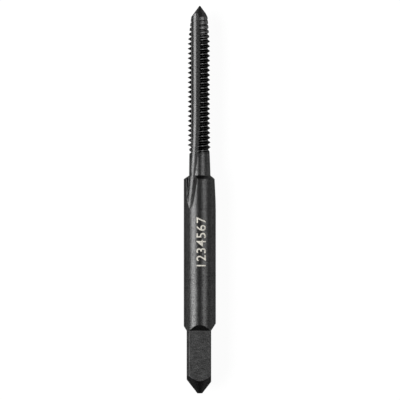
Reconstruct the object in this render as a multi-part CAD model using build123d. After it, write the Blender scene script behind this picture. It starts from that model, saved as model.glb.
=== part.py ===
from build123d import *
import math
import os

# Hand tap for a right-hand metric coarse thread, M3 x 0.6, made from one bar of tool steel.
# Sizes are in millimetres and angles in degrees.
#
# The tap is modelled upright, as it is ground between centres: its axis is Z, the end of the
# driving square is at Z = 0 and the point is at the top. A place along the axis is called a
# station. At the end it is laid down on its shank, with the point towards +X.

# Shank and neck
shank_diameter = 4.0
shank_length = 26.7  # from the driving end to the shoulder
shoulder_half_angle = 57.0  # between the shoulder cone and the axis
neck_rear_diameter = 2.67  # at the shoulder
neck_front_diameter = 2.60  # at the thread
neck_length = 3.25

# Male centres that the blank is ground between
tail_flat_diameter = 0.62
tail_half_angle = 38.0
point_flat_diameter = 0.10
point_half_angle = 36.3

# Driving square
square_across_flats = 3.05
square_length = 7.84  # full depth of the flats, from the driving end
square_ramp_angle = 34.0  # between the run-out of a flat and the axis
square_offset = 0.11  # the square is ground slightly off the axis, towards +Y

# Thread
thread_major_diameter = 3.0
thread_minor_diameter = 2.09
thread_pitch = 0.6
thread_flank_angle = 60.0
thread_length = 16.52
thread_entry = 0.542  # how far the first groove lies behind the thread's rear end
thread_rear_angle = 45.0  # chamfer where the thread meets the neck
lead_length = 3.3  # chamfered teeth at the front, which do the cutting
lead_front_diameter = 2.13

# Flutes
flute_count = 3
first_flute_angle = 23.5  # of a flute's centre line, about Z from +X
web_diameter = 1.46  # solid core left between the flutes
flute_bottom_radius = 0.89
flute_corner_radius = 0.23  # where the cutting face meets the bottom
cutting_edge_angle = 26.4  # from the flute's centre line to the cutting edge
rake_angle = 15.0  # the cutting face leans in under its edge
heel_angle = 39.8  # from the flute's centre line to the heel edge
flute_full_length = 11.6  # at full depth, from the front of the thread
wheel_radius = 56.0  # of the grinding wheel, which shapes the run-out

# Clearances for the cutting tools
tool_overrun = 0.5  # how far a cutter reaches past the metal that it removes
groove_overrun = 0.03  # the same for the thread groove, less than half a crest
groove_gap_angle = 4.0  # left between the groove's stretches, in the open flute
flute_reach = 1.4  # how far the wheel's straight sides run on past the thread's crests

# Radii and stations that follow from the sizes above
shank_radius = shank_diameter / 2
neck_rear_radius = neck_rear_diameter / 2
neck_front_radius = neck_front_diameter / 2
thread_major_radius = thread_major_diameter / 2
thread_minor_radius = thread_minor_diameter / 2
lead_front_radius = lead_front_diameter / 2
web_radius = web_diameter / 2


def cone_rise(small_radius, large_radius, half_angle):
    """Length along the axis over which a cone grows from one radius to the other."""
    return (large_radius - small_radius) / math.tan(math.radians(half_angle))


neck_start = shank_length + cone_rise(neck_rear_radius, shank_radius, shoulder_half_angle)
neck_end = neck_start + neck_length
thread_start = neck_end + cone_rise(neck_front_radius, thread_major_radius, thread_rear_angle)
thread_end = neck_end + thread_length
overall_length = thread_end + cone_rise(point_flat_diameter / 2, lead_front_radius, point_half_angle)


def polar(radius, angle):
    """Point in the XY plane at a radius and an angle about the axis."""
    return radius * math.cos(math.radians(angle)), radius * math.sin(math.radians(angle))


def turned_blank():
    """The round body before the flutes, the thread and the square are ground into it."""
    tail_radius = tail_flat_diameter / 2
    outline = Polyline(
        (0, 0, 0),
        (tail_radius, 0, 0),
        (shank_radius, 0, cone_rise(tail_radius, shank_radius, tail_half_angle)),
        (shank_radius, 0, shank_length),
        (neck_rear_radius, 0, neck_start),
        (neck_front_radius, 0, neck_end),
        (thread_major_radius, 0, thread_start),
        (thread_major_radius, 0, thread_end - lead_length),
        (lead_front_radius, 0, thread_end),
        (point_flat_diameter / 2, 0, overall_length),
        (0, 0, overall_length),
        close=True,
    )
    return revolve(make_face(outline), Axis.Z)


def flute_section():
    """Section of the grinding wheel's rim, with the flute's centre line along +X.

    One side is the flat cutting face. A small corner radius leads into the round bottom, and
    the straight heel side touches the bottom and rises to the heel of the next land.
    """
    bottom_centre = Vector(web_radius + flute_bottom_radius, 0, 0)
    cutting_edge = Vector(*polar(thread_major_radius, -cutting_edge_angle), 0)
    inwards = -Vector(*polar(1, rake_angle - cutting_edge_angle), 0)
    # where the line of the cutting face enters the bottom circle
    to_edge = cutting_edge - bottom_centre
    towards = to_edge.dot(inwards)
    face_depth = math.sqrt(towards**2 - to_edge.dot(to_edge) + flute_bottom_radius**2) - towards
    corner = cutting_edge + inwards * face_depth
    face_top = cutting_edge - inwards * flute_reach
    # where the heel side touches the bottom circle
    heel = Vector(*polar(thread_major_radius, heel_angle), 0)
    to_heel = heel - bottom_centre
    heel_bearing = math.degrees(math.atan2(to_heel.Y, to_heel.X))
    touching = heel_bearing + math.degrees(math.acos(flute_bottom_radius / to_heel.length))
    heel_foot = bottom_centre + Vector(*polar(flute_bottom_radius, touching), 0)
    heel_top = heel + (heel - heel_foot).normalized() * flute_reach
    edges = [
        Line(face_top, corner),
        ThreePointArc(corner, (web_radius, 0), heel_foot),
        Line(heel_foot, heel_top),
        Line(heel_top, face_top),
    ]
    section = make_face(edges)
    sharp_corner = section.vertices().sort_by_distance(corner)[0]
    return fillet(sharp_corner, flute_corner_radius)


def flute_cutter():
    """What one pass of the grinding wheel removes: a straight flute and its curved run-out."""
    runout_start = thread_end - flute_full_length
    section = Pos(0, 0, runout_start) * flute_section()
    straight = extrude(section, amount=overall_length + tool_overrun - runout_start)
    wheel_axis = Axis((web_radius + wheel_radius, 0, runout_start), (0, -1, 0))
    lift = shank_radius + tool_overrun - web_radius
    swing = math.degrees(math.acos(1 - lift / wheel_radius))
    return straight + revolve(section, wheel_axis, swing)


def land_centre_angle():
    """Angle from a flute's centre line to the middle of the land behind its heel."""
    next_edge_angle = 360 / flute_count - cutting_edge_angle
    return (heel_angle + next_edge_angle) / 2


def groove_section():
    """Section of the thread groove: a V that reaches a little past the crest."""
    top_radius = thread_major_radius + groove_overrun
    half_top = (top_radius - thread_minor_radius) * math.tan(math.radians(thread_flank_angle / 2))
    outline = Polyline(
        (thread_minor_radius, 0, 0),
        (top_radius, 0, -half_top),
        (top_radius, 0, half_top),
        close=True,
    )
    return make_face(outline)


def groove_stretches():
    """The thread groove as one helix, in stretches that each cross a single land."""
    land_pitch_angle = 360 / flute_count
    stretch_angle = land_pitch_angle - groove_gap_angle
    stretch_rise = thread_pitch * stretch_angle / 360
    path = Helix(pitch=thread_pitch, height=stretch_rise, radius=thread_minor_radius)
    stretch = sweep(groove_section(), path, is_frenet=True)
    first_station = thread_start - thread_entry - stretch_rise / 2
    first_angle = first_flute_angle + land_centre_angle() - stretch_angle / 2
    step_rise = thread_pitch / flute_count
    step_count = math.ceil((thread_end - first_station) / step_rise)
    stretches = []
    for step in range(step_count):
        advance = Pos(0, 0, first_station + step * step_rise)
        turn = Rot(0, 0, first_angle + step * land_pitch_angle)
        stretches.append(advance * turn * stretch)
    return stretches


def square_cutters():
    """The four blocks of metal outside the driving square, each with its sloping run-out."""
    flat_height = square_across_flats / 2
    reach = 2 * shank_radius
    ramp_rise = reach / math.tan(math.radians(square_ramp_angle))
    outline = Polyline(
        (flat_height, 0, -tool_overrun),
        (flat_height, 0, square_length),
        (flat_height + reach, 0, square_length + ramp_rise),
        (flat_height + reach, 0, -tool_overrun),
        close=True,
    )
    block = extrude(make_face(outline), amount=shank_diameter, both=True)
    return [Pos(0, square_offset, 0) * Rot(0, 0, 90 * side) * block for side in range(4)]


def thread_tap():
    """The finished tap, upright."""
    cutter = flute_cutter()
    flutes = [Rot(0, 0, first_flute_angle + 360 / flute_count * turn) * cutter for turn in range(flute_count)]
    tap = turned_blank() - square_cutters() - flutes
    return tap - groove_stretches()


# Laid down: the shank rests on Z = 0, and the origin is below the middle of the length
lying = Pos(-overall_length / 2, 0, shank_radius) * Rot(0, 90, 0)
tap = lying * thread_tap()

os.makedirs("parts", exist_ok=True)
export_step(tap, "parts/tap.step")
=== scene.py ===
import math

import bmesh
import bpy
import numpy as np
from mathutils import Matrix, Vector

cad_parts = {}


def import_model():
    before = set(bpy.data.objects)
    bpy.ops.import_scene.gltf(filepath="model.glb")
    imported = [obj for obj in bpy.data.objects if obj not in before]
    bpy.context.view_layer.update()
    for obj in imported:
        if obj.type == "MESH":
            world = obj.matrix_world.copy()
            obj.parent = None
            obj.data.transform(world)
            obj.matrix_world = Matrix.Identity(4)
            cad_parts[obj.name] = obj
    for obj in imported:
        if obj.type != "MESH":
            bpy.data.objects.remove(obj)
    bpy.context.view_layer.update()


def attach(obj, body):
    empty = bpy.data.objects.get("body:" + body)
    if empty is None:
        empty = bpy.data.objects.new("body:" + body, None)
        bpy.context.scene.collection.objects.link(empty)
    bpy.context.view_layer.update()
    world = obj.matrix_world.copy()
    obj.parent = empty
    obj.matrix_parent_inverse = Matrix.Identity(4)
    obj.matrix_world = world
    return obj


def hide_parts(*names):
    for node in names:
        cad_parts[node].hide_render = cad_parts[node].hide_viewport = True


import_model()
scene = bpy.context.scene
scene.view_settings.view_transform = "Standard"

MM = 0.001  # metres in a millimetre


def slope(angle):
    """Rise over length of a line at an angle in degrees."""
    return math.tan(math.radians(angle))


# ---------------------------------------------------------------- sizes of the tap, millimetres
# A place along the axis is called a station: 0 is the driving end, OVERALL_LENGTH the point.
# Angles are in degrees.

SHANK_RADIUS = 2.0
NECK_REAR_RADIUS, NECK_FRONT_RADIUS = 1.335, 1.30
MAJOR_RADIUS = 1.5  # of the thread
LEAD_FRONT_RADIUS = 1.065
TIP_FLAT_RADIUS = 0.05
TAIL_FLAT_RADIUS = 0.31
TAIL_SLOPE = slope(38)
TAIL_CONE_END = (SHANK_RADIUS - TAIL_FLAT_RADIUS) / TAIL_SLOPE
SHOULDER = 26.7  # end of the shank
NECK_START = SHOULDER + (SHANK_RADIUS - NECK_REAR_RADIUS) / slope(57)
NECK_END = NECK_START + 3.25
THREAD_START = NECK_END + (MAJOR_RADIUS - NECK_FRONT_RADIUS) / slope(45)
THREAD_END = NECK_END + 16.52
LEAD_START = THREAD_END - 3.3
OVERALL_LENGTH = THREAD_END + (LEAD_FRONT_RADIUS - TIP_FLAT_RADIUS) / slope(36.3)
INNER_ROUNDING = 0.03  # at the corners of the turned outline

ROOT_RADIUS, LEAD_ROOT_RADIUS = 1.085, 1.02  # of the groove's root, up to the lead and at its front
ROOT_FLAT, LEAD_ROOT_FLAT = 0.095, 0.045  # width of the root, likewise
PITCH = 0.6
FLANK_SLOPE = slope(60)
CREST_ROUNDING = 0.006  # how far the thread's crests are eased
GROOVE_COUNT = 28
GROOVE_STATION, GROOVE_ANGLE = THREAD_START - 0.54, 91.3  # where the first groove starts

FLUTES = 3
FLUTE_ANGLE = 23.5  # of the first flute's centre line
EDGE_ANGLE = 26.4  # from the flute's centre line to the cutting edge
RAKE = 15.0  # the cutting face leans in under its edge
HEEL_ANGLE = 39.8  # from the flute's centre line to the heel edge
WEB_RADIUS = 0.73
BOTTOM_RADIUS = 0.89
CORNER_RADIUS = 0.23
RUNOUT_START = THREAD_END - 11.6
WHEEL_RADIUS = 60.0
RUNOUT_ROUNDING = 0.035  # how far the run-out's edges on the shank are eased

FLAT_LENGTH = 7.84
RAMP_SLOPE = slope(34)  # of the flats' run-outs
FLAT_DISTANCES = (1.525, 1.635, 1.525, 1.415)  # from the axis to the flats at 0, 90, 180 and 270 degrees
SQUARE_ROUNDING = 0.013  # how far the square's edges are eased

# ---------------------------------------------------------------- camera, straight above the tap

PIXEL = 0.1246 * MM  # one pixel at the tap's axis
IMAGE_SIZE = 400
CAMERA_HEIGHT = 0.6  # above the tap's axis, metres
camera_data = bpy.data.cameras.new("camera")
camera_data.sensor_width = 36.0
camera_data.lens = camera_data.sensor_width * CAMERA_HEIGHT / (PIXEL * IMAGE_SIZE)
camera_data.clip_start, camera_data.clip_end = 0.01, 50.0
camera = bpy.data.objects.new("camera", camera_data)
camera.location = (-0.057 * MM, -0.025 * MM, SHANK_RADIUS * MM + CAMERA_HEIGHT)
camera.rotation_euler = (0, 0, math.radians(-90))
scene.collection.objects.link(camera)
scene.camera = camera


# ---------------------------------------------------------------- outline of the blank

def softened(outline, size):
    """The outline with each corner between its ends replaced by three points of a small curve."""
    points = [np.array(p, float) for p in outline]
    result = [points[0]]
    for before, corner, after in zip(points, points[1:], points[2:]):
        start = corner + size * (before - corner) / np.linalg.norm(before - corner)
        end = corner + size * (after - corner) / np.linalg.norm(after - corner)
        result += [start, (start + 2 * corner + end) / 4, end]
    return np.array(result + [points[-1]])


BLANK = softened(
    [
        (0, TAIL_FLAT_RADIUS),
        (TAIL_CONE_END, SHANK_RADIUS),
        (SHOULDER, SHANK_RADIUS),
        (NECK_START, NECK_REAR_RADIUS),
        (NECK_END, NECK_FRONT_RADIUS),
        (THREAD_START, MAJOR_RADIUS),
        (LEAD_START, MAJOR_RADIUS),
        (THREAD_END, LEAD_FRONT_RADIUS),
        (OVERALL_LENGTH, TIP_FLAT_RADIUS),
    ],
    size=INNER_ROUNDING,
)


def blank_radius(station):
    return np.interp(station, BLANK[:, 0], BLANK[:, 1])


def groove_station(angle):
    """Station of the first groove's root where it passes an angle about the axis."""
    return GROOVE_STATION + PITCH * (angle - GROOVE_ANGLE) / 360


def root_shape(station):
    """Radius of the groove's root and half its width: the root narrows and sinks along the lead."""
    lead = np.clip((station - LEAD_START) / (THREAD_END - LEAD_START), 0, 1)
    radius = ROOT_RADIUS + (LEAD_ROOT_RADIUS - ROOT_RADIUS) * lead
    return radius, (ROOT_FLAT + (LEAD_ROOT_FLAT - ROOT_FLAT) * lead) / 2


def land_radius(station, angle):
    """Radius of the threaded blank between the flutes."""
    blank = blank_radius(station)
    along = station - groove_station(angle)
    turn = np.clip(np.round(along / PITCH), 0, GROOVE_COUNT - 1)
    off_root = along - PITCH * turn
    root_radius, half_flat = root_shape(station - off_root)
    groove = root_radius + FLANK_SLOPE * np.maximum(abs(off_root) - half_flat, 0)
    inner = (blank + groove - np.sqrt((blank - groove) ** 2 + CREST_ROUNDING**2)) / 2
    return np.where(groove - blank > 5 * CREST_ROUNDING, blank, inner)


def eased_lower(first, second, rounding):
    """The lower of two radii, with a soft turn where they cross."""
    eased = (first + second - np.sqrt((first - second) ** 2 + rounding**2)) / 2
    return np.where(abs(first - second) > 6 * rounding, np.minimum(first, second), eased)


# ---------------------------------------------------------------- section of a flute

def flute_curve(samples=1500):
    """Points of a flute's section: cutting face, corner, bottom and heel side.

    The first coordinate runs along the flute's centre line, the second across it to the heel.
    """
    def polar(radius, angle):
        return radius * np.array([math.cos(math.radians(angle)), math.sin(math.radians(angle))])

    def arc(middle, radius, start, end):
        angles = np.linspace(start, end, 300)
        return middle + radius * np.stack([np.cos(angles), np.sin(angles)], 1)

    def bearing(point, middle):
        return math.atan2(point[1] - middle[1], point[0] - middle[0]) % (2 * math.pi)

    reach = 1.4  # how far the straight sides run on past the land
    middle = np.array([WEB_RADIUS + BOTTOM_RADIUS, 0])
    edge = polar(MAJOR_RADIUS, -EDGE_ANGLE)
    inwards = -polar(1, RAKE - EDGE_ANGLE)
    off_face = polar(1, RAKE - EDGE_ANGLE + 90)
    # the corner's circle touches the face and, from inside, the bottom's circle
    start = edge - middle + CORNER_RADIUS * off_face
    along = start @ inwards
    run = math.sqrt(along**2 - start @ start + (BOTTOM_RADIUS - CORNER_RADIUS) ** 2) - along
    corner = middle + start + run * inwards
    face_foot = edge + run * inwards
    leaving = bearing(corner, middle)
    # the heel side touches the bottom's circle
    heel = polar(MAJOR_RADIUS, HEEL_ANGLE)
    distance = np.linalg.norm(heel - middle)
    touching = bearing(heel, middle) + math.acos(BOTTOM_RADIUS / distance)
    heel_foot = middle + BOTTOM_RADIUS * np.array([math.cos(touching), math.sin(touching)])
    outwards = (heel - heel_foot) / np.linalg.norm(heel - heel_foot)
    path = np.concatenate(
        [
            [edge - reach * inwards, face_foot],
            arc(corner, CORNER_RADIUS, bearing(face_foot, corner), leaving),
            arc(middle, BOTTOM_RADIUS, leaving, touching),
            [heel + reach * outwards],
        ]
    )
    length = np.concatenate([[0], np.cumsum(np.linalg.norm(np.diff(path, axis=0), axis=1))])
    places = np.linspace(0, length[-1], samples)
    return np.stack([np.interp(places, length, path[:, 0]), np.interp(places, length, path[:, 1])], 1)


CURVE = flute_curve()
PLACES = np.arange(len(CURVE), dtype=float)


def flute_at(station, place):
    """A point of the flute's surface: the wheel lifts the section out along the run-out."""
    depth = np.interp(place, PLACES, CURVE[:, 0])
    across = np.interp(place, PLACES, CURVE[:, 1])
    back = np.maximum(RUNOUT_START - station, 0)
    centre = WEB_RADIUS + WHEEL_RADIUS
    return centre - np.sqrt((centre - depth) ** 2 - back**2), across


def flute_depth(station):
    """(place, radius) of the flute's point nearest to the axis."""
    depth, across = flute_at(station, PLACES)
    radius = np.hypot(depth, across)
    lowest = int(np.argmin(radius))
    return lowest, radius


def crossing(station, side, radius_at):
    """Where the flute's surface meets the land: the place on the curve and the angle.

    side is -1 at the cutting face and +1 at the heel; radius_at gives the land's radius at an
    angle from the flute's centre line.
    """
    lowest, radius = flute_depth(station)
    angle = -EDGE_ANGLE if side < 0 else HEEL_ANGLE
    for _ in range(4):
        land = float(radius_at(angle))
        if land <= radius[lowest]:
            place = float(lowest)
        elif side < 0:
            place = float(np.interp(land, radius[lowest::-1], PLACES[lowest::-1]))
        else:
            place = float(np.interp(land, radius[lowest:], PLACES[lowest:]))
        depth, across = flute_at(station, place)
        angle = math.degrees(math.atan2(across, depth))
    return place, angle


def closing_station(low, high):
    """Station between low and high where the flute just leaves the surface."""
    def opened(station):
        lowest, radius = flute_depth(station)
        return radius[lowest] < blank_radius(station)

    open_at_high = opened(high)
    for _ in range(40):
        middle = (low + high) / 2
        if opened(middle) == open_at_high:
            high = middle
        else:
            low = middle
    return (low + high) / 2


RUNOUT_END = closing_station(20.0, SHOULDER - 0.7)
TIP_CLOSING = closing_station(OVERALL_LENGTH, THREAD_END)

# ---------------------------------------------------------------- the mesh

FLUTE_COLUMNS = 26
HEEL_COLUMNS = 10  # those of a flute's columns that climb to the heel
LAND_COLUMNS = 40
SECTOR = 360.0 / FLUTES


def crowded_shares(count, step):
    """Shares from 0 to 1 that crowd towards both ends."""
    ends = step * np.array([0, 1, 2.2, 3.8])
    return np.concatenate([ends, np.linspace(ends[-1], 1 - ends[-1], count - 5)[1:-1], 1 - ends[::-1]])


FLUTE_SHARES = crowded_shares(FLUTE_COLUMNS, 0.014)
LAND_SHARES = crowded_shares(LAND_COLUMNS, 0.008)
WELD_DISTANCE = 0.0002
SHARP_ANGLE = 32  # steeper edges are shaded sharp
JOIN = 9.3  # station where the mesh of the square end meets the fluted part
FINE_TURNS = 2  # turns of the groove at the neck that have finer rows
# kinds of surface, each with its own material
ROUND, FLUTE, HEEL, NECK, THREAD, SQUARE, CONE, TAIL = range(8)


def world(station, radius, angle):
    """Points in metres in the row frame, from cylinder coordinates."""
    angle = np.radians(angle)
    return np.stack(
        [
            (station - OVERALL_LENGTH / 2) * MM + 0 * radius,
            radius * np.sin(angle) * MM,
            (SHANK_RADIUS - radius * np.cos(angle)) * MM,
        ],
        -1,
    )


def thread_stations(angle):
    """Stations of the mesh rows along the thread, at one angle about the axis.

    Each flank's rows are at shares of its run, and the last share lies just past the crest's edge.
    """
    def flank_run(root, side):
        root_radius, half_flat = root_shape(root)
        run = (MAJOR_RADIUS - root_radius) / FLANK_SLOPE
        for _ in range(8):
            run = (blank_radius(root + side * (half_flat + run)) - root_radius) / FLANK_SLOPE
        return run

    fine = np.array([0.0, 0.15, 0.3, 0.45, 0.6, 0.78, 0.97, 1.02])
    plain = np.array([0.0, 0.33, 0.66, 0.97, 1.02])
    rows = []
    for turn in range(GROOVE_COUNT):
        root = groove_station(angle) + PITCH * turn
        steps = fine if turn < FINE_TURNS else plain
        half_flat = root_shape(root)[1]
        before = root - half_flat - steps[::-1] * flank_run(root, -1)
        if rows:
            count = 7 if turn <= FINE_TURNS else 3
            rows += list(np.linspace(rows[-1], before[0], count)[1:-1])
        rows += list(before) + [root] + list(root + half_flat + steps * flank_run(root, 1))
    return np.array(rows)


def column_stations(front_rows, rear_rows):
    """Station of every mesh vertex of the fluted part, as rows by columns.

    Along the thread the rows follow its helix over the lands, and swing back in the first flute.
    """
    edges = []
    for sector in range(FLUTES):
        heel = FLUTE_ANGLE + HEEL_ANGLE + SECTOR * sector
        next_edge = FLUTE_ANGLE - EDGE_ANGLE + SECTOR * (sector + 1)
        edges.append(heel + (next_edge - heel) * LAND_SHARES)
    land_rows = [np.stack([thread_stations(a) for a in angles], 1) for angles in edges]
    columns = []
    for sector in range(FLUTES):
        start, end = land_rows[sector - 1][:, -1:], land_rows[sector][:, :1]
        columns.append(start + (end - start) * FLUTE_SHARES)
        columns.append(land_rows[sector][:, 1:-1])
    helical = np.concatenate(columns, 1)
    wide = np.ones(helical.shape[1])

    def between(first, last, count):
        share = np.linspace(0, 1, count + 2)[1:-1, None]
        return first + (last - first) * share

    rear = rear_rows[:, None] * wide
    front = front_rows[:, None] * wide
    return np.concatenate(
        [rear, between(rear[-1], helical[0], 8), helical, between(helical[-1], front[0], 3), front]
    )


def eased(start, end, count):
    """Stations that crowd towards the start, where a flute or flat narrows to a point."""
    return start + (end - start) * np.linspace(0, 1, count) ** 2


def body_rows():
    """(points, kinds): the fluted part from the join on the shank to the point."""
    rear = np.concatenate(
        [
            [JOIN, 12.0, 15.0, 18.0, 20.5, RUNOUT_END - 0.4],
            eased(RUNOUT_END, 25.4, 22),
            np.linspace(25.5, SHOULDER - 0.06, 10),
            BLANK[(BLANK[:, 0] > SHOULDER - 0.05) & (BLANK[:, 0] < NECK_START - 0.05), 0],
            np.linspace(SHOULDER + 0.08, NECK_START - 0.05, 5),
            BLANK[(BLANK[:, 0] > NECK_START - 0.04) & (BLANK[:, 0] < NECK_START + 0.05), 0],
            np.linspace(NECK_START + 0.1, 29.2, 16),
        ]
    )
    front = np.concatenate(
        [
            BLANK[(BLANK[:, 0] > THREAD_END - 0.05) & (BLANK[:, 0] < THREAD_END + 0.05), 0],
            eased(TIP_CLOSING, THREAD_END + 0.06, 12)[::-1],
            [47.75, 48.0, 48.15, OVERALL_LENGTH],
        ]
    )
    stations = column_stations(np.unique(front), np.unique(rear))
    height, width = stations.shape
    points = np.zeros((height, width, 3))
    stride = FLUTE_COLUMNS + LAND_COLUMNS
    even = np.linspace(0, 1, LAND_COLUMNS + 1)
    for row in range(height):
        spans, climbs = [], []  # of each flute: its two edges, and how steeply its sides rise there
        for sector in range(FLUTES):
            centre = FLUTE_ANGLE + SECTOR * sector
            first = sector * stride
            columns = first + np.arange(FLUTE_COLUMNS + 1)
            z = stations[row, columns]
            unwrapped = centre + (360 if sector == 0 else 0)
            face, face_angle = crossing(z[0], -1, lambda a: land_radius(z[0], unwrapped + a))
            heel, heel_angle = crossing(z[-1], 1, lambda a: land_radius(z[-1], centre + a))
            if z[0] <= RUNOUT_END + 1e-9 or z[0] >= TIP_CLOSING - 1e-9:
                # on the shank the mesh turns to meet the columns of the square end
                turned = np.clip((RUNOUT_END - z[0]) / (RUNOUT_END - JOIN), 0, 1)
                spacing = 360 / (FLUTES * LAND_COLUMNS)
                goal = spacing * round((centre + face_angle) / spacing) - centre
                angle = face_angle + (goal - face_angle) * turned
                face_angle = heel_angle = angle
                points[row, columns] = world(z, blank_radius(z), centre + angle + 0 * z)
                climbs.append((0, 0))
            else:
                depth, across = flute_at(z, face + (heel - face) * FLUTE_SHARES)
                angles = centre + np.degrees(np.arctan2(across, depth))
                radii = np.hypot(depth, across)
                climb = np.diff(radii) / np.maximum(np.diff(angles), 1e-6)
                climbs.append((-climb[0], climb[-1]))
                if z[0] < SHOULDER:
                    radii = eased_lower(radii, blank_radius(z), RUNOUT_ROUNDING)
                points[row, columns] = world(z, radii, angles)
            spans.append((centre + face_angle, centre + heel_angle))
        for sector in range(FLUTES):
            start = spans[sector][1]
            end = spans[(sector + 1) % FLUTES][0] + (360 if sector == FLUTES - 1 else 0)
            columns = sector * stride + FLUTE_COLUMNS + np.arange(1, LAND_COLUMNS)
            z = stations[row, columns]
            turned = np.clip((RUNOUT_END - z[0]) / (RUNOUT_END - JOIN), 0, 1)
            share = (LAND_SHARES + (even - LAND_SHARES) * turned)[1:-1]
            angles = start + (end - start) * share
            radii = land_radius(z, angles)
            if RUNOUT_END < z[0] < SHOULDER:
                # the flutes' sides, carried on past their edges, ease the land towards them
                after_heel = climbs[sector][1] * (angles - start)
                before_edge = climbs[(sector + 1) % FLUTES][0] * (end - angles)
                rise = np.minimum(after_heel, before_edge)
                radii = eased_lower(radii, radii + rise, RUNOUT_ROUNDING)
            points[row, columns] = world(z, radii, angles)
    middle = stations.mean(1)
    kinds = np.full((height - 1, width), ROUND)
    between = (middle[1:] + middle[:-1]) / 2
    kinds[between > SHOULDER] = CONE
    kinds[between > NECK_START] = NECK
    kinds[between > NECK_END - 0.6] = THREAD
    kinds[between > THREAD_END] = CONE
    for sector in range(FLUTES):
        land = sector * stride + FLUTE_COLUMNS
        kinds[:, land - FLUTE_COLUMNS : land - HEEL_COLUMNS] = FLUTE
        kinds[:, land - HEEL_COLUMNS : land] = HEEL
    return points, kinds


def square_rows(quarter_columns):
    """(points, kinds): the driving square with its run-outs, and the male centre behind it."""
    on_cone = [(d - TAIL_FLAT_RADIUS) / TAIL_SLOPE for d in FLAT_DISTANCES]
    on_ramp = [FLAT_LENGTH + (SHANK_RADIUS - d) / RAMP_SLOPE for d in FLAT_DISTANCES]
    steps = np.array([0, 0.004, 0.015, 0.035, 0.065])
    stations = [0, 0.5, 1.0, 5.0, FLAT_LENGTH - 0.03, FLAT_LENGTH + 0.03, 9.0, JOIN]
    for station in on_cone:
        stations += list(station + steps)
    for station in on_ramp:
        stations += list(station - steps)
    stations += list(np.linspace(max(on_cone) + 0.1, TAIL_CONE_END - 0.04, 6))
    stations += list(BLANK[abs(BLANK[:, 0] - TAIL_CONE_END) < 0.05, 0])
    stations += list(np.linspace(FLAT_LENGTH, min(on_ramp) - 0.1, 8))
    stations = np.unique(np.round(stations, 6))
    even = np.linspace(0, 1, quarter_columns + 1)[:-1]
    # columns crowd towards the flats' edges, which are slightly rounded
    edge_steps = np.array([0.0, 0.01, 0.022, 0.038, 0.06, 0.1])
    middle_count = quarter_columns + 1 - 2 * len(edge_steps)
    middle = np.linspace(0.1, 0.9, middle_count + 2)[1:-1]
    crowded = np.concatenate([edge_steps, middle, 1 - edge_steps[::-1]])[:-1]
    flat_middle = np.linspace(0.1, 0.9, 7)[1:-1]
    flat_shares = np.concatenate([edge_steps, flat_middle, 1 - edge_steps[::-1]])[:-1]
    rows = []
    for station in stations:
        radius = float(blank_radius(station))
        drop = max(station - FLAT_LENGTH, 0) * RAMP_SLOPE
        distances = np.array(FLAT_DISTANCES) + drop
        half = np.degrees(np.arccos(np.minimum(distances / radius, 1)))
        half[half < 0.005] = 0
        share = even if station > FLAT_LENGTH + 0.05 or station < 1.0 else crowded
        angles = []
        for side in range(4):
            angles.append(90 * side + half[side] * (2 * flat_shares - 1))
            start, end = 90 * side + half[side], 90 * (side + 1) - half[(side + 1) % 4]
            angles.append(start + (end - start) * share)
        angles = np.concatenate(angles)
        flats = np.full(len(angles), np.inf)
        for side in range(4):
            facing = np.cos(np.radians(angles - 90 * side))
            flats = np.minimum(flats, distances[side] / np.maximum(facing, 0.01))
        rows.append(world(station, eased_lower(flats, radius, SQUARE_ROUNDING), angles))
    points = np.array(rows)
    kinds = np.full((len(rows) - 1, points.shape[1]), ROUND)
    kinds[stations[1:] < TAIL_CONE_END + 0.03] = TAIL
    ramp = stations[1:] > FLAT_LENGTH + 0.01
    for side in range(4):
        first = side * (len(flat_shares) + quarter_columns)
        kinds[:, first : first + len(flat_shares)] = SQUARE
        kinds[ramp, first : first + len(flat_shares)] = CONE
    return points, kinds


def welded_mesh(name, grids, ends):
    """One closed mesh from grids of points that meet, with a flat cap at each end."""
    points, faces, kinds = [], [], []
    for grid, kind in grids:
        base = sum(len(p) for p in points)
        height, width = grid.shape[:2]
        index = base + np.arange(height * width).reshape(height, width)
        points.append(grid.reshape(-1, 3))
        right = np.roll(index, -1, axis=1)
        faces.append(np.stack([index[:-1], right[:-1], right[1:], index[1:]], -1).reshape(-1, 4))
        kinds.append(kind.reshape(-1))
    points, faces, kinds = np.concatenate(points), np.concatenate(faces), np.concatenate(kinds)
    keys = np.round(points / (WELD_DISTANCE * MM)).astype(np.int64)
    _, first, welded = np.unique(keys, axis=0, return_index=True, return_inverse=True)
    faces = welded.reshape(-1)[faces]
    points = points[first]
    corners, materials = [], []
    for face, kind in zip(faces.tolist(), kinds.tolist()):
        kept = [v for i, v in enumerate(face) if v != face[i - 1]]
        if len(set(kept)) >= 3:
            corners.append(kept)
            materials.append(kind)
    for ring, backwards in ends:
        cap = [int(v) for v in welded.reshape(-1)[ring]]
        cap = [v for i, v in enumerate(cap) if v != cap[i - 1]]
        corners.append(cap[::-1] if backwards else cap)
        materials.append(CONE)
    mesh = bpy.data.meshes.new(name)
    mesh.from_pydata(points.tolist(), [], corners)
    mesh.polygons.foreach_set("material_index", materials)
    mesh.polygons.foreach_set("use_smooth", [True] * len(corners))
    mesh.update()
    return mesh


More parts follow.
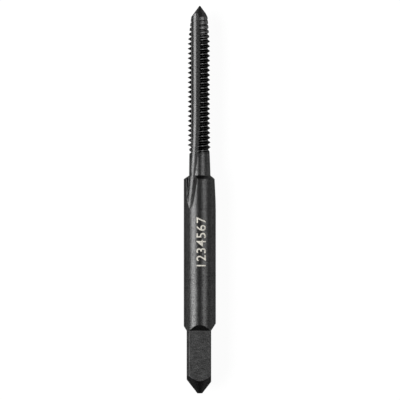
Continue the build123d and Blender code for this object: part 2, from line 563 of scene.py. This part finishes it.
def tap_mesh():
    """The whole tap as one closed mesh, shaded smooth but for its sharp edges."""
    body, body_kinds = body_rows()
    columns = FLUTES * LAND_COLUMNS
    square, square_kinds = square_rows(columns // 4)
    square_size = square.shape[0] * square.shape[1]
    tail_ring = np.arange(square.shape[1])
    tip_ring = square_size + body.shape[0] * body.shape[1] - body.shape[1] + np.arange(body.shape[1])
    mesh = welded_mesh(
        "tap_body",
        [(square, square_kinds), (body, body_kinds)],
        [(tail_ring, True), (tip_ring, False)],
    )
    work = bmesh.new()
    work.from_mesh(mesh)
    bmesh.ops.recalc_face_normals(work, faces=work.faces)
    for edge in work.edges:
        edge.smooth = edge.calc_face_angle(0) < math.radians(SHARP_ANGLE)
    open_edges = [e for e in work.edges if not e.is_manifold]
    print("tap: vertices", len(work.verts), "faces", len(work.faces), "open edges", len(open_edges))
    work.to_mesh(mesh)
    work.free()
    return mesh


# ---------------------------------------------------------------- materials

def node_tree(name):
    """(material, add): a material with no nodes, and a function that adds one and links its inputs."""
    material = bpy.data.materials.new(name)
    material.use_nodes = True
    nodes, links = material.node_tree.nodes, material.node_tree.links
    nodes.clear()

    def add(kind, values=None, **settings):
        node = nodes.new(kind)
        for key, value in settings.items():
            setattr(node, key, value)
        for socket, value in (values or {}).items():
            target = node.inputs[socket]
            if isinstance(value, bpy.types.NodeSocket):
                links.new(value, target)
            else:
                target.default_value = value
        return node

    return material, add


OXIDE = 0.042  # how much the oxide reflects, seen straight on
GLANCING = 0.43  # the same, near the limb
GRAINS = 10.5  # per millimetre
CLOUDS = 0.45  # likewise
# the thread's painted light: painted highlight in the roots, a brightness that rises along the lead as
# painted highlight, and painted shade on the flanks
ROOT_PAINTED_HIGHLIGHT, CREST_PAINTED_LIGHT, LEAD_PAINTED_HIGHLIGHT, FLANK_PAINTED_SHADE = 2.3, 0.9, 2.2, 0.35


def black_oxide(name, lay, roughness, tone=1.0, streaks=0.1, grain=0.022, speckle=0.5, thread=False):
    """Ground steel under black oxide.

    lay is the number of grinding lines per millimetre along X, Y and Z. streaks and speckle are
    how much the tone varies with the lay and from grain to grain, and grain is the grains' height
    in millimetres. tone scales the colour of the whole surface: above 1 it is painted light, below 1
    painted shade. A thread is brighter in its roots and on its lead, which is painted highlight, and
    darker on its flanks, which is painted shade.
    """
    material, add = node_tree(name)
    texture = add("ShaderNodeTexCoord")
    coordinates = texture.outputs["Object"]

    def noise(scale, detail):
        """Noise with cells per millimetre given along X, Y and Z."""
        place = add("ShaderNodeMapping", {"Vector": coordinates, "Scale": [1000 * v for v in scale]})
        values = {"Vector": place.outputs[0], "Scale": 1.0, "Detail": detail, "Roughness": 0.6}
        return add("ShaderNodeTexNoise", values).outputs["Fac"]

    def mapped(value, low, high, start=0.3, end=0.7):
        values = {"Value": value, "From Min": start, "From Max": end, "To Min": low, "To Max": high}
        return add("ShaderNodeMapRange", values).outputs[0]

    def times(first, second):
        return add("ShaderNodeMath", {0: first, 1: second}, operation="MULTIPLY").outputs[0]

    fine_lines = noise(lay, 3.0)
    bands = noise([v / 7 for v in lay], 3.0)
    grains = noise([GRAINS] * 3, 2.0)
    clouds = noise([CLOUDS] * 3, 4.0)
    shade = times(mapped(grains, 1 - speckle, 1 + speckle), mapped(bands, 1 - streaks, 1 + streaks))
    shade = times(shade, mapped(clouds, 0.92, 1.08))
    if thread:
        def vector(operation, *values):
            return add("ShaderNodeVectorMath", dict(enumerate(values)), operation=operation).outputs

        from_axis = vector("SUBTRACT", coordinates, (0, 0, SHANK_RADIUS * MM))[0]
        across = vector("MULTIPLY", from_axis, (0, 1, 1))[0]
        radius = vector("LENGTH", across)["Value"]
        outward = vector("NORMALIZE", across)[0]
        facing = vector("DOT_PRODUCT", outward, texture.outputs["Normal"])["Value"]
        along = add("ShaderNodeSeparateXYZ", {0: coordinates}).outputs["X"]
        lead = [(station - OVERALL_LENGTH / 2) * MM for station in (LEAD_START - 0.5, THREAD_END - 1.5)]
        root = [(ROOT_RADIUS + above) * MM for above in (0.005, 0.035)]
        # painted highlight: the roots are brightened, less so towards the point
        shade = times(shade, mapped(radius, mapped(along, ROOT_PAINTED_HIGHLIGHT, 1, *lead), 1, *root))
        # painted highlight: the whole thread brightens along the lead
        shade = times(shade, mapped(along, CREST_PAINTED_LIGHT, LEAD_PAINTED_HIGHLIGHT, *lead))
        # painted shade: flanks that face away from the axis's outward direction are darkened
        shade = times(shade, mapped(facing, FLANK_PAINTED_SHADE, 1, 0.55, 0.9))
    tint = add(
        "ShaderNodeMix",
        {"Factor": 1.0, "A": [OXIDE * tone] * 3 + [1], "B": shade},
        data_type="RGBA",
        blend_type="MULTIPLY",
    )
    rough = mapped(grains, roughness - 0.04, roughness + 0.04)
    lined = add("ShaderNodeBump", {"Height": fine_lines, "Strength": 0.5, "Distance": 0.004 * MM})
    grained = add(
        "ShaderNodeBump",
        {"Height": grains, "Strength": 1.0, "Distance": grain * MM, "Normal": lined.outputs[0]},
    )
    shader = add(
        "ShaderNodeBsdfPrincipled",
        {
            "Base Color": tint.outputs["Result"],
            "Metallic": 1.0,
            "Specular Tint": [GLANCING] * 3 + [1],
            "Roughness": rough,
            "Normal": grained.outputs[0],
        },
    )
    add("ShaderNodeOutputMaterial", {"Surface": shader.outputs[0]})
    return material


# tone makes lit and shaded copies of one oxide: painted light brightens the flute a little and the heel
# and neck more, and painted shade darkens the tail cone
tap_materials = {
    ROUND: black_oxide("oxide_round_ground", (40, 3, 3), 0.31, grain=0.014, speckle=0.85),
    FLUTE: black_oxide("oxide_flute_painted_light", (2, 30, 30), 0.27, tone=1.07, grain=0.018, speckle=0.35),
    HEEL: black_oxide("oxide_heel_painted_light", (2, 30, 30), 0.5, tone=1.3),
    NECK: black_oxide("oxide_neck_painted_light", (20, 4, 4), 0.3, tone=1.25, grain=0.018, speckle=0.9),
    THREAD: black_oxide("oxide_thread_painted_light_and_shade", (30, 4, 4), 0.29, thread=True),
    SQUARE: black_oxide("oxide_square", (28, 8, 8), 0.5, streaks=0.4, grain=0.028, speckle=1.0),
    CONE: black_oxide("oxide_cone", (30, 4, 4), 0.30),
    TAIL: black_oxide("oxide_tail_painted_shade", (30, 4, 4), 0.26, tone=0.45),
}

tap = bpy.data.objects.new("tap_body", tap_mesh())
scene.collection.objects.link(tap)
for kind in sorted(tap_materials):
    tap.data.materials.append(tap_materials[kind])
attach(tap, "root")
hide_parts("tap")

# ---------------------------------------------------------------- number mark on the shank

MARK_TEXT = "1234567"
MARK_START, MARK_END = 15.85, 21.97  # stations
MARK_LOW, MARK_HIGH = -0.765, 0.415  # across the shank, in Y
MARK_RISE, MARK_DEPTH = 0.004, 0.01  # above and below the shank's surface
MARK_STRIPS = 13  # the plates are cut into strips that bend round the shank
MARK_COLOUR = (0.47, 0.45, 0.40, 1)
MARK_DOTS = 9  # per millimetre


def bare_steel():
    """Where the laser has taken the oxide off: rough and pale."""
    material, add = node_tree("laser_mark")
    coordinates = add("ShaderNodeTexCoord").outputs["Object"]
    noise = {"Vector": coordinates, "Scale": MARK_DOTS / MM, "Detail": 3.0}
    dots = add("ShaderNodeTexNoise", noise).outputs["Fac"]
    span = {"From Min": 0.35, "From Max": 0.65, "To Min": 0.7, "To Max": 1.0}
    tone = add("ShaderNodeMapRange", {"Value": dots, **span})
    tint = add(
        "ShaderNodeMix",
        {"Factor": 1.0, "A": MARK_COLOUR, "B": tone.outputs[0]},
        data_type="RGBA",
        blend_type="MULTIPLY",
    )
    bump = add("ShaderNodeBump", {"Height": dots, "Strength": 0.5, "Distance": 0.004 * MM})
    shader = add(
        "ShaderNodeBsdfPrincipled",
        {"Base Color": tint.outputs["Result"], "Roughness": 0.7, "Normal": bump.outputs[0]},
    )
    add("ShaderNodeOutputMaterial", {"Surface": shader.outputs[0]})
    return material


def mark_mesh():
    """The numerals as thin plates that follow the round of the shank."""
    text = bpy.data.curves.new("mark_text", "FONT")
    text.body = MARK_TEXT
    text.offset = 0.004  # bolder strokes
    text.space_character = 1.12
    carrier = bpy.data.objects.new("mark_text", text)
    scene.collection.objects.link(carrier)
    bpy.context.view_layer.update()
    mesh = bpy.data.meshes.new_from_object(carrier.evaluated_get(bpy.context.evaluated_depsgraph_get()))
    mesh.name = "size_mark"
    bpy.data.objects.remove(carrier)
    bpy.data.curves.remove(text)
    work = bmesh.new()
    work.from_mesh(mesh)
    co = np.array([v.co for v in work.verts])
    low, high = co.min(0), co.max(0)
    for v in work.verts:
        along = (v.co.x - low[0]) / (high[0] - low[0])
        across = (v.co.y - low[1]) / (high[1] - low[1])
        v.co = (
            (MARK_START + (MARK_END - MARK_START) * along - OVERALL_LENGTH / 2) * MM,
            (MARK_LOW + (MARK_HIGH - MARK_LOW) * across) * MM,
            0,
        )
    bmesh.ops.remove_doubles(work, verts=work.verts, dist=0.0005 * MM)
    for cut in np.linspace(MARK_LOW, MARK_HIGH, MARK_STRIPS + 1)[1:-1]:
        everything = work.verts[:] + work.edges[:] + work.faces[:]
        bmesh.ops.bisect_plane(work, geom=everything, plane_co=(0, cut * MM, 0), plane_no=(0, 1, 0))
    extruded = bmesh.ops.extrude_face_region(work, geom=work.faces[:])
    upper = {v for v in extruded["geom"] if isinstance(v, bmesh.types.BMVert)}
    for v in work.verts:
        radius = SHANK_RADIUS + (MARK_RISE if v in upper else -MARK_DEPTH)
        turn = v.co.y / (SHANK_RADIUS * MM)
        v.co.y = radius * MM * turn
        v.co.z = SHANK_RADIUS * MM + radius * MM * math.sqrt(1 - turn**2)
    bmesh.ops.recalc_face_normals(work, faces=work.faces)
    work.to_mesh(mesh)
    work.free()
    return mesh


mark = bpy.data.objects.new("number_mark", mark_mesh())
scene.collection.objects.link(mark)
mark.data.materials.clear()
mark.data.materials.append(bare_steel())
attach(mark, "root")

# ---------------------------------------------------------------- floor, world and lamps

FLOOR_REACH = 4.0  # from the middle, metres
floor_mesh = bpy.data.meshes.new("floor")
corners = [(FLOOR_REACH * x, FLOOR_REACH * y, 0) for x, y in ((-1, -1), (1, -1), (1, 1), (-1, 1))]
floor_mesh.from_pydata(corners, [], [(0, 1, 2, 3)])
floor = bpy.data.objects.new("floor", floor_mesh)
scene.collection.objects.link(floor)

GLOW = 0.93  # share of the floor's white that doesn't depend on the lamps


def white_floor():
    """A pale floor that is white to the camera, in mirrors and through glass."""
    material, add = node_tree("floor_white")
    path = add("ShaderNodeLightPath").outputs
    seen = path["Is Camera Ray"]
    for ray in ("Is Glossy Ray", "Is Transmission Ray"):
        seen = add("ShaderNodeMath", {0: seen, 1: path[ray]}, operation="MAXIMUM").outputs[0]
    share = add("ShaderNodeMath", {0: seen, 1: GLOW}, operation="MULTIPLY")
    pale = add("ShaderNodeBsdfDiffuse", {"Color": (0.9, 0.9, 0.9, 1)})
    white = add("ShaderNodeEmission", {"Color": (1, 1, 1, 1), "Strength": 1.0})
    both = add("ShaderNodeMixShader", {0: share.outputs[0], 1: pale.outputs[0], 2: white.outputs[0]})
    add("ShaderNodeOutputMaterial", {"Surface": both.outputs[0]})
    return material


floor.data.materials.append(white_floor())

ROOM = 0.13  # strength of the dark room


def studio_world():
    """A white band at the horizon, and above it a dark room, paler to the right, darker at the ends.

    Right is towards -Y, as in the picture.
    """
    world_data = bpy.data.worlds.new("studio")
    world_data.use_nodes = True
    nodes, links = world_data.node_tree.nodes, world_data.node_tree.links
    nodes.clear()

    def mapped(value, start, end, low, high):
        node = nodes.new("ShaderNodeMapRange")
        links.new(value, node.inputs["Value"])
        for socket, number in zip(("From Min", "From Max", "To Min", "To Max"), (start, end, low, high)):
            node.inputs[socket].default_value = number
        return node.outputs[0]

    def maths(operation, *values):
        node = nodes.new("ShaderNodeMath")
        node.operation = operation
        for socket, value in zip(node.inputs, values):
            if isinstance(value, bpy.types.NodeSocket):
                links.new(value, socket)
            else:
                socket.default_value = value
        return node.outputs[0]

    direction = nodes.new("ShaderNodeSeparateXYZ")
    links.new(nodes.new("ShaderNodeTexCoord").outputs["Generated"], direction.inputs[0])
    x, y, z = direction.outputs
    room = maths("ADD", mapped(y, -0.9, -0.5, 0.35, 0.0), ROOM)
    room = maths("MULTIPLY", room, mapped(x, -0.9, -0.5, 0.15, 1.0))
    room = maths("MULTIPLY", room, mapped(x, 0.6, 0.95, 1.0, 0.6))
    band = mapped(z, 0.045, 0.10, 1.0, 0.0)
    strength = maths("ADD", band, maths("MULTIPLY", room, maths("SUBTRACT", 1.0, band)))
    background = nodes.new("ShaderNodeBackground")
    background.inputs["Color"].default_value = (1, 1, 1, 1)
    links.new(strength, background.inputs["Strength"])
    links.new(background.outputs[0], nodes.new("ShaderNodeOutputWorld").inputs[0])
    return world_data


scene.world = studio_world()


LAMP_LENGTH, LAMP_DISTANCE = 0.5, 0.45  # metres


def softbox(name, angle, width_angle, radiance):
    """A strip lamp along X, seen from the tap at an angle from straight up towards +Y."""
    data = bpy.data.lights.new(name, "AREA")
    data.shape = "RECTANGLE"
    data.size = LAMP_LENGTH
    data.size_y = 2 * LAMP_DISTANCE * slope(width_angle / 2)
    data.energy = radiance * math.pi * data.size * data.size_y
    lamp = bpy.data.objects.new(name, data)
    turn = math.radians(angle)
    lamp.location = Vector((0, math.sin(turn), math.cos(turn))) * LAMP_DISTANCE
    lamp.rotation_euler = (-turn, 0, 0)
    scene.collection.objects.link(lamp)


softbox("softbox_left", angle=46.5, width_angle=34, radiance=9.8)
softbox("softbox_right", angle=-33, width_angle=26, radiance=3.7)
